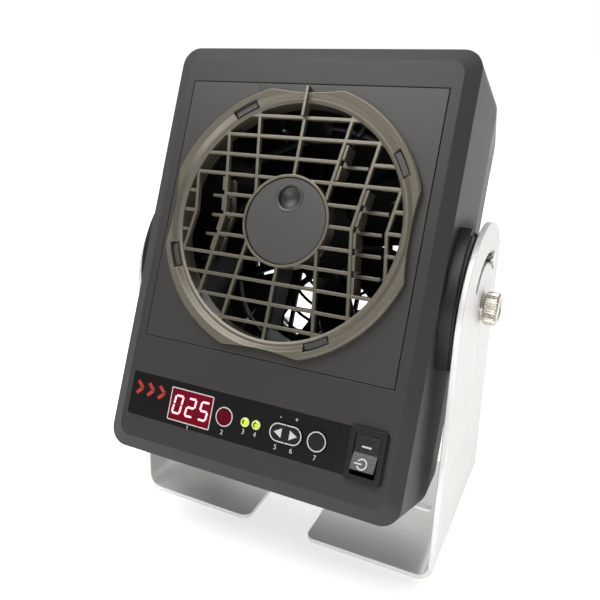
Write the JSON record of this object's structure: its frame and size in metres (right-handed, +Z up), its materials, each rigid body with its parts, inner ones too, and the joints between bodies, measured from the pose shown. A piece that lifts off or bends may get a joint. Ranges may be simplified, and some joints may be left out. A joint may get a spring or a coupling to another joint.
{
  "type": "bench-top ionizing blower",
  "caption": "Ionizing air blower: tilting fan head with chevron bayonet guard, pin-cleaning dial, emitter pins and control strip, in a bent-sheet stand with thumb screws.",
  "frame": {"origin": "on the floor under the tilt axis, midway between the arms, on the underside of the stand's base", "axes": "+X to the blower's right as seen from the front, +Y towards its back, +Z up; the air leaves towards -Y"},
  "size_m": [0.1842, 0.157, 0.236],
  "materials": {
    "satin_steel": "satin",
    "nickel": "nickel plated",
    "screw_steel": "zinc plated",
    "brass": "plain",
    "copper": "copper windings",
    "housing_plastic": "fine textured",
    "panel_plastic": "fine textured",
    "guard_plastic": "satin moulded",
    "dial_plastic": "fine textured",
    "black_plastic": "moulded",
    "strip_film": "gloss film",
    "key_plastic": "gloss",
    "red_window": "tinted clear",
    "led_lens": "diffused",
    "washer_nylon": "nylon",
    "bristle": "nylon bristles",
    "board": "solder mask",
    "lead_rubber": "silicone lead",
    "magnet": "ferrite"
  },
  "bodies": {
    "stand": {"stand": "satin_steel"},
    "head": {"side_hub_left": "black_plastic", "side_hub_right": "black_plastic", "hub_screws": "screw_steel", "pivot_inserts": "brass", "friction_washers": "washer_nylon", "guide_pins": "nickel", "front_housing": "housing_plastic", "rear_cover": "housing_plastic", "case_screws": "screw_steel", "fan_panel": "panel_plastic", "emitter_ring": "black_plastic", "emitter_pins": "brass", "fan_frame": "black_plastic", "fan_screws": "screw_steel", "fan_stator": "copper", "fan_bearings": "screw_steel", "rear_guard": "black_plastic", "rear_guard_screws": "screw_steel", "control_strip": "strip_film", "display_window": "red_window", "display_module": "black_plastic", "ir_window": "red_window", "ir_sensor": "black_plastic", "status_leds": "led_lens", "key_switches": "screw_steel", "control_board": "board", "board_screws": "screw_steel", "switch_frame": "black_plastic", "switch_terminals": "brass", "hv_module": "black_plastic", "hv_lead": "lead_rubber", "power_board": "board", "power_inlet": "black_plastic", "inlet_pins": "brass", "ground_screw": "nickel"},
    "thumb_screw_left": {"thumb_screw_left": "nickel"},
    "thumb_screw_right": {"thumb_screw_right": "nickel"},
    "guard": {"guard": "guard_plastic"},
    "dial": {"dial": "dial_plastic", "dial_screw": "screw_steel", "brush_arm": "black_plastic", "brush": "bristle"},
    "fan_rotor": {"fan_rotor": "black_plastic", "fan_magnet": "magnet", "fan_shaft": "screw_steel"},
    "rocker": {"switch_rocker": "key_plastic"},
    "key_left": {"key_left": "key_plastic"},
    "key_right": {"key_right": "key_plastic"},
    "clean_button": {"clean_button": "key_plastic"}
  },
  "joints": [
    {"name": "head_tilt", "type": "hinge", "parent": "stand", "child": "head", "pos_m": [0, 0, 0.1206], "axis": [1, 0, 0], "range_deg": [-23.7, 76.3]},
    {"name": "thumb_screw_left_turn", "type": "hinge", "parent": "stand", "child": "thumb_screw_left", "pos_m": [-0.084, 0, 0.1206], "axis": [-1, 0, 0], "range_deg": [0, 360]},
    {"name": "thumb_screw_right_turn", "type": "hinge", "parent": "stand", "child": "thumb_screw_right", "pos_m": [0.084, 0, 0.1206], "axis": [1, 0, 0], "range_deg": [0, 360]},
    {"name": "guard_turn", "type": "hinge", "parent": "head", "child": "guard", "pos_m": [0, -0.04134, 0.16401], "axis": [0, -0.8965, 0.4431], "range_deg": [0, 22.5]},
    {"name": "dial_turn", "type": "hinge", "parent": "guard", "child": "dial", "pos_m": [0, -0.04134, 0.16401], "axis": [0, -0.8965, 0.4431], "continuous": true},
    {"name": "fan_spin", "type": "hinge", "parent": "head", "child": "fan_rotor", "pos_m": [0, 0.00348, 0.14186], "axis": [0, -0.8965, 0.4431], "continuous": true},
    {"name": "rocker_tip", "type": "hinge", "parent": "head", "child": "rocker", "pos_m": [0.0572, -0.07892, 0.07896], "axis": [1, 0, 0], "range_deg": [0, 18]},
    {"name": "key_left_press", "type": "slide", "parent": "head", "child": "key_left", "axis": [0, 0.8965, -0.4431], "range_m": [0, 0.0006], "stiffness_N_per_m": 1500},
    {"name": "key_right_press", "type": "slide", "parent": "head", "child": "key_right", "axis": [0, 0.8965, -0.4431], "range_m": [0, 0.0006], "stiffness_N_per_m": 1500},
    {"name": "clean_button_press", "type": "slide", "parent": "head", "child": "clean_button", "axis": [0, 0.8965, -0.4431], "range_m": [0, 0.0006], "stiffness_N_per_m": 1500}
  ]
}
